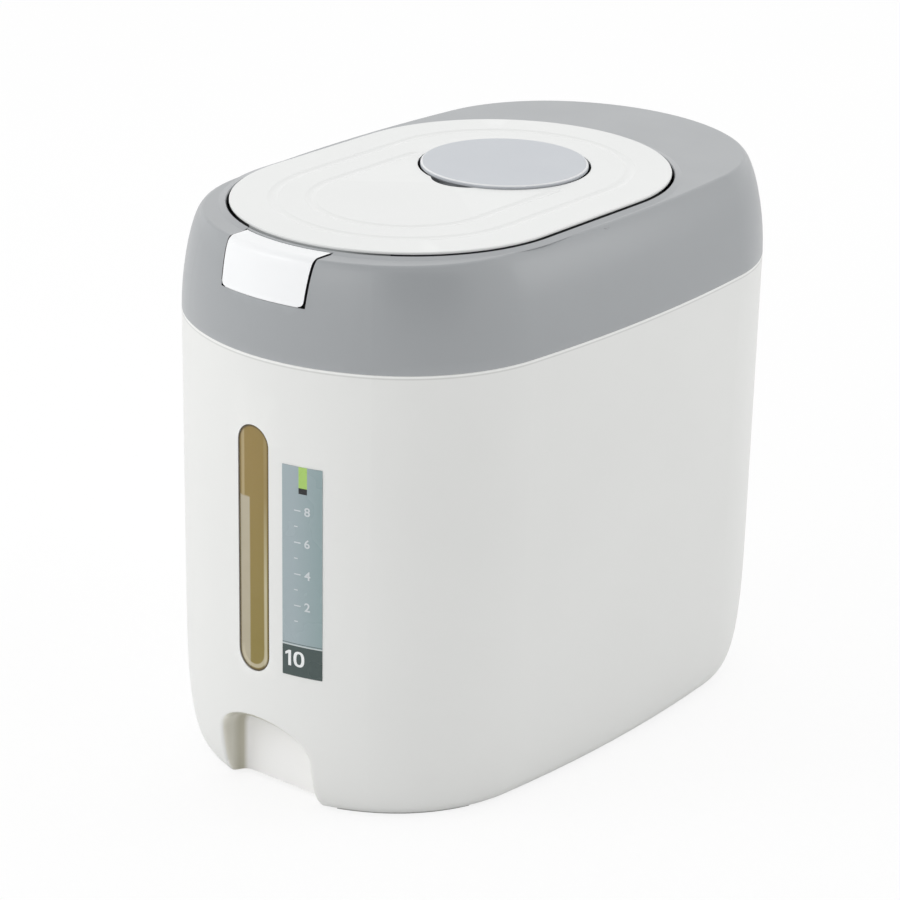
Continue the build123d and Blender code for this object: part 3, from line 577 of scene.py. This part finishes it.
def new_piece(name, mesh, material):
    """A piece made of a bmesh, which is freed."""
    bmesh.ops.recalc_face_normals(mesh, faces=mesh.faces[:])
    data = bpy.data.meshes.new(name)
    mesh.to_mesh(data)
    mesh.free()
    data.materials.append(material)
    piece = bpy.data.objects.new(name, data)
    bpy.context.scene.collection.objects.link(piece)
    return piece


def face_of(node):
    """A function that gives the y of a node's front face at an x and a z."""
    tree = BVHTree.FromObject(NODES[node], bpy.context.evaluated_depsgraph_get())
    return lambda x, z: tree.ray_cast(Vector((x, CLEAR_OF_FRONT, z)), Vector((0, 1, 0)))[0].y


def print_on_label(name, outlines, ink):
    """Lays flat forms, drawn in x and z, on the label's curved face, a hair in front of it."""
    mesh = bmesh.new()
    for outline in outlines:
        mesh.from_mesh(outline)
        bpy.data.meshes.remove(outline)
    low = [min(v.co[i] for v in mesh.verts) for i in (0, 2)]
    high = [max(v.co[i] for v in mesh.verts) for i in (0, 2)]
    for axis, first, last in ((0, low[0], high[0]), (2, low[1], high[1])):
        for step in range(1, int((last - first) / PRINT_STEP) + 1):
            normal = Vector((0, 0, 0))
            normal[axis] = 1
            bmesh.ops.bisect_plane(
                mesh,
                geom=mesh.verts[:] + mesh.edges[:] + mesh.faces[:],
                plane_co=normal * (first + step * PRINT_STEP),
                plane_no=normal,
            )
    label = face_of("level_label")
    for vertex in mesh.verts:
        vertex.co.y = label(vertex.co.x, vertex.co.z) - PRINT_HEIGHT
    piece = new_piece(name, mesh, ink)
    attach(piece, "bin")


def figure(text, left, low, height):
    """A number as a flat mesh in x and z, its lower left corner at left and low."""
    curve = bpy.data.curves.new("figure", "FONT")
    curve.body = text
    curve.offset = FIGURE_WEIGHT
    curve.fill_mode = "FRONT"
    made = bpy.data.objects.new("figure", curve)
    bpy.context.scene.collection.objects.link(made)
    bpy.context.view_layer.update()
    shown = made.evaluated_get(bpy.context.evaluated_depsgraph_get())
    mesh = bpy.data.meshes.new_from_object(shown)
    bpy.data.objects.remove(made)
    bpy.data.curves.remove(curve)
    first_x = min(v.co.x for v in mesh.vertices)
    ys = [v.co.y for v in mesh.vertices]
    scale = height / (max(ys) - min(ys))
    for vertex in mesh.vertices:
        across, up = vertex.co.x - first_x, vertex.co.y - min(ys)
        vertex.co = (left + across * scale, 0, low + up * scale)
    return mesh


def flat(points, faces):
    """A flat mesh in x and z."""
    mesh = bpy.data.meshes.new("flat")
    mesh.from_pydata([(x, 0, z) for x, z in points], [], faces)
    return mesh


def bar(left, low, width, height):
    right, high = left + width, low + height
    return flat([(left, low), (right, low), (right, high), (left, high)], [(0, 1, 2, 3)])


def rounded_oval(middle, centre, wide, tall):
    """Points round an oval with these half sizes, fuller at its corners than an ellipse."""
    points = []
    for step in range(RING_STEPS):
        across, up = cos(2 * pi * step / RING_STEPS), sin(2 * pi * step / RING_STEPS)
        x = middle + wide * copysign(abs(across) ** ZERO_POWER, across)
        points.append((x, centre + tall * copysign(abs(up) ** ZERO_POWER, up)))
    return points


def capacity_figures(left, low, height):
    """A 1 with a flag and a 0, as two flat meshes."""
    stem = STEM * height
    right = left + FLAG * height + stem
    one = flat(
        [
            (right - stem, low),
            (right, low),
            (right, low + height),
            (right - 0.8 * stem, low + height),
            (left, low + 0.84 * height),
            (left, low + 0.68 * height),
            (right - stem, low + 0.78 * height),
        ],
        [(0, 1, 2, 3, 6), (3, 4, 5, 6)],
    )
    wide, tall = ZERO_WIDTH / 2, height / 2
    middle, centre = right + FIGURE_GAP * height + wide, low + tall
    outer = rounded_oval(middle, centre, wide, tall)
    inner = rounded_oval(middle, centre, wide - stem, tall - ZERO_THIN * stem)
    after = [(i + 1) % RING_STEPS for i in range(RING_STEPS)]
    faces = [(i, j, RING_STEPS + j, RING_STEPS + i) for i, j in enumerate(after)]
    return [one, flat(outer + inner, faces)]


def make_print():
    """The capacity in white on the dark band, and a pale scale of plain numbers above it."""
    white = printed_ink("ink_white", INK_WHITE)
    pale = printed_ink("ink_pale", INK_PALE)
    capacity = capacity_figures(CAPACITY_LEFT, CAPACITY_LOW, CAPACITY_HEIGHT)
    print_on_label("capacity", capacity, white)
    numbers = []
    for step in range(1, 5):
        low = SCALE_ZERO + SCALE_STEP * step - FIGURE_DROP
        numbers.append(figure(str(2 * step), FIGURE_LEFT, low, FIGURE_HEIGHT))
    print_on_label("level_numbers", numbers, pale)
    ticks = []
    for half_step in range(1, 9):
        width = TICK_SHORT if half_step % 2 else TICK_LONG
        low = SCALE_ZERO + SCALE_STEP / 2 * half_step
        ticks.append(bar(TICK_LEFT, low, width, TICK_HEIGHT))
    print_on_label("level_ticks", ticks, pale)


# ---------------------------------------------------------------- springs
HINGE_WIRE, LATCH_WIRE = 0.0014, 0.0008
HINGE_PITCH = 1.08  # in wires
LATCH_TURNS = 6
COIL_STEPS, WIRE_SIDES = 20, 10


def tube(rings):
    """A closed tube through rings of points, as a bmesh."""
    mesh = bmesh.new()
    rings = [[mesh.verts.new(point) for point in ring] for ring in rings]
    count = len(rings[0])
    for first, second in zip(rings, rings[1:]):
        for k in range(count):
            after = (k + 1) % count
            mesh.faces.new((first[k], first[after], second[after], second[k]))
    mesh.faces.new(rings[0])
    mesh.faces.new(rings[-1][::-1])
    return mesh


def coil(name, node, along, wire, turns, material):
    """A wire wound along one axis (0 for X, 1 for Y), standing for a CAD node and as large."""
    low, high = (Vector(corner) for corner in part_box(node))
    ahead, side = Vector((1, 0, 0)), Vector((0, 1, 0))
    across = 2
    if along == 1:
        ahead, side = side, ahead
        across = 0
    radius = (high[across] - low[across] - wire) / 2
    count = int(turns * COIL_STEPS)
    rings = []
    for step in range(count + 1):
        turn = 2 * pi * step / COIL_STEPS
        out = cos(turn) * side + sin(turn) * Vector((0, 0, 1))
        middle = (low + high) / 2 + radius * out
        middle[along] = low[along] + wire / 2 + (high[along] - low[along] - wire) * step / count
        ring = []
        for k in range(WIRE_SIDES):
            angle = 2 * pi * k / WIRE_SIDES
            ring.append(middle + wire / 2 * (cos(angle) * out + sin(angle) * ahead))
        rings.append(ring)
    piece = new_piece(name, tube(rings), material)
    piece.data.shade_smooth()
    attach(piece, "bin")
    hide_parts(node)
    return piece


def make_springs(material):
    """Two hinge springs, wound close, and the latch's return spring."""
    for side in ("left", "right"):
        node = f"hinge_spring_{side}"
        low, high = (Vector(corner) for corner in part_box(node))
        turns = (high.x - low.x) / (HINGE_PITCH * HINGE_WIRE) - 1
        coil(f"hinge_coil_{side}", node, 0, HINGE_WIRE, turns, material)
    piece = coil("latch_coil", "latch_spring", 1, LATCH_WIRE, LATCH_TURNS, material)
    low, high = (Vector(corner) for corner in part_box("latch_spring"))
    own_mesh(piece)


# ---------------------------------------------------------------- two strips at the latch: a painted highlight and painted light in a shaded gap
STRIP_STEPS = 48
STRIP_EVEN, STRIP_TAPER = 0.030, 0.13  # past this x a strip draws back by the taper

# For each strip: its left and right ends, its low and high edges, its front and back behind the
# face of the node that it follows, and the height where it feels for that face
# the white strip under the latch, a painted highlight on its lower edge
LATCH_HIGHLIGHT_STRIP = {
    "ends": (-0.0228, 0.0228),
    "levels": (0.2621, 0.2626),
    "depths": (-0.00003, 0.0005),
    "probe": 0.2627,
}
# the grey strip in the gap under the lid's front edge, painted light in that shaded gap
LID_GAP_LIGHT_STRIP = {
    "ends": (-0.030, 0.048),
    "levels": (0.2815, 0.2858),
    "depths": (0.0003, 0.003),
    "probe": 0.2860,
}


def strip(name, node, material, ends, levels, depths, probe):
    """A strip that follows a node's front face."""
    face = face_of(node)
    (left, right), (low, high), (front, back) = ends, levels, depths
    rings = []
    for step in range(STRIP_STEPS + 1):
        x = left + (right - left) * step / STRIP_STEPS
        y = face(x, probe)
        near, far = y + front + STRIP_TAPER * max(0.0, x - STRIP_EVEN), y + back
        rings.append([(x, near, low), (x, far, low), (x, far, high), (x, near, high)])
    return new_piece(name, tube(rings), material)


def make_strips():
    """A white strip under the latch as a painted highlight, and a grey strip behind it under the
    lid's front edge as painted light in that shaded gap.
    """
    white = bpy.data.materials["latch_plastic"]
    # a white strip filling the shaded gap under the latch, as a painted highlight
    rim = strip("latch_highlight_strip", "latch_button", white, **LATCH_HIGHLIGHT_STRIP)
    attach(rim, "latch")
    grey = bpy.data.materials["frame_plastic"]
    # a grey strip in the shaded gap under the lid's front edge, as painted light that makes the
    # gap less dark
    gap_light_strip = strip("lid_gap_light_strip", "lid_panel", grey, **LID_GAP_LIGHT_STRIP)
    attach(gap_light_strip, "lid")


# ---------------------------------------------------------------- materials on the CAD nodes
def dress():
    """Every CAD node gets its material."""
    tub = plastic("tub_plastic", (0.80, 0.805, 0.79), 0.42, paint=tub_paint)
    collar = plastic(
        "collar_plastic",
        (0.35, 0.365, 0.378),
        0.3,
        wear=1.10,
        spread=0.03,
        specular=0.6,
        paint=latch_gap_paint,
    )
    lid = plastic("lid_plastic", (0.82, 0.83, 0.82), 0.24, grain=0.2)
    latch = plastic(
        "latch_plastic", LATCH_COLOR, 0.3, grain=0.05, specular=0.6, paint=latch_gap_paint
    )
    cup = plastic("cup_plastic", (0.575, 0.60, 0.635), 0.45, wear=1.06, paint=disc_edge_highlight_paint)
    # The liner's near-black colour is painted shade: it darkens the well round the cup, the finger
    # notch and the gap under the lid's edge
    liner = plastic("liner_plastic", (0.07, 0.072, 0.075), 0.45, wear=1.3, spread=0.08)
    inner = plastic("frame_plastic", (0.44, 0.46, 0.46), 0.5)
    seal = rubber("seal_rubber", (0.62, 0.62, 0.60), 0.6)
    foot = rubber("foot_rubber", (0.46, 0.46, 0.45), 0.75)
    wire = metal("spring_steel", (0.55, 0.55, 0.55), 0.3, (1, 1, 1))
    ground = metal("pin_steel", (0.62, 0.62, 0.62), 0.28, (0.05, 1, 1))
    plated = metal("screw_steel", (0.6, 0.6, 0.6), 0.32, (1, 1, 0.1))
    looks = {
        tub: ("tub_shell", "window_clamp"),
        collar: ("collar",),
        lid: ("lid_panel",),
        latch: ("latch_button", "latch_arm_left", "latch_arm_right", "latch_hook"),
        cup: ("measuring_cup",),
        liner: ("lid_liner", "lid_plug", "cup_well", "lid_nose", "lid_arm_left", "lid_arm_right"),
        inner: ("inner_frame", "throat_ring", "hinge_bracket", "latch_bracket"),
        seal: ("window_gasket", "frame_gasket", "lid_seal"),
        foot: ("foot_front_left", "foot_front_right", "foot_rear_left", "foot_rear_right"),
        wire: ("hinge_spring_left", "hinge_spring_right", "latch_spring"),
        ground: ("hinge_pin", "latch_pin"),
        plated: ("frame_screws",),
        window_plastic(): ("window_pane",),
        label_film(): ("level_label",),
    }
    for material, names in looks.items():
        for name in names:
            NODES[name].data.materials.clear()
            NODES[name].data.materials.append(material)


bpy.context.scene.view_settings.view_transform = "Standard"
make_camera()
make_floor()
make_air()
make_lamps()
dress()
make_print()
make_springs(bpy.data.materials["spring_steel"])
make_strips()
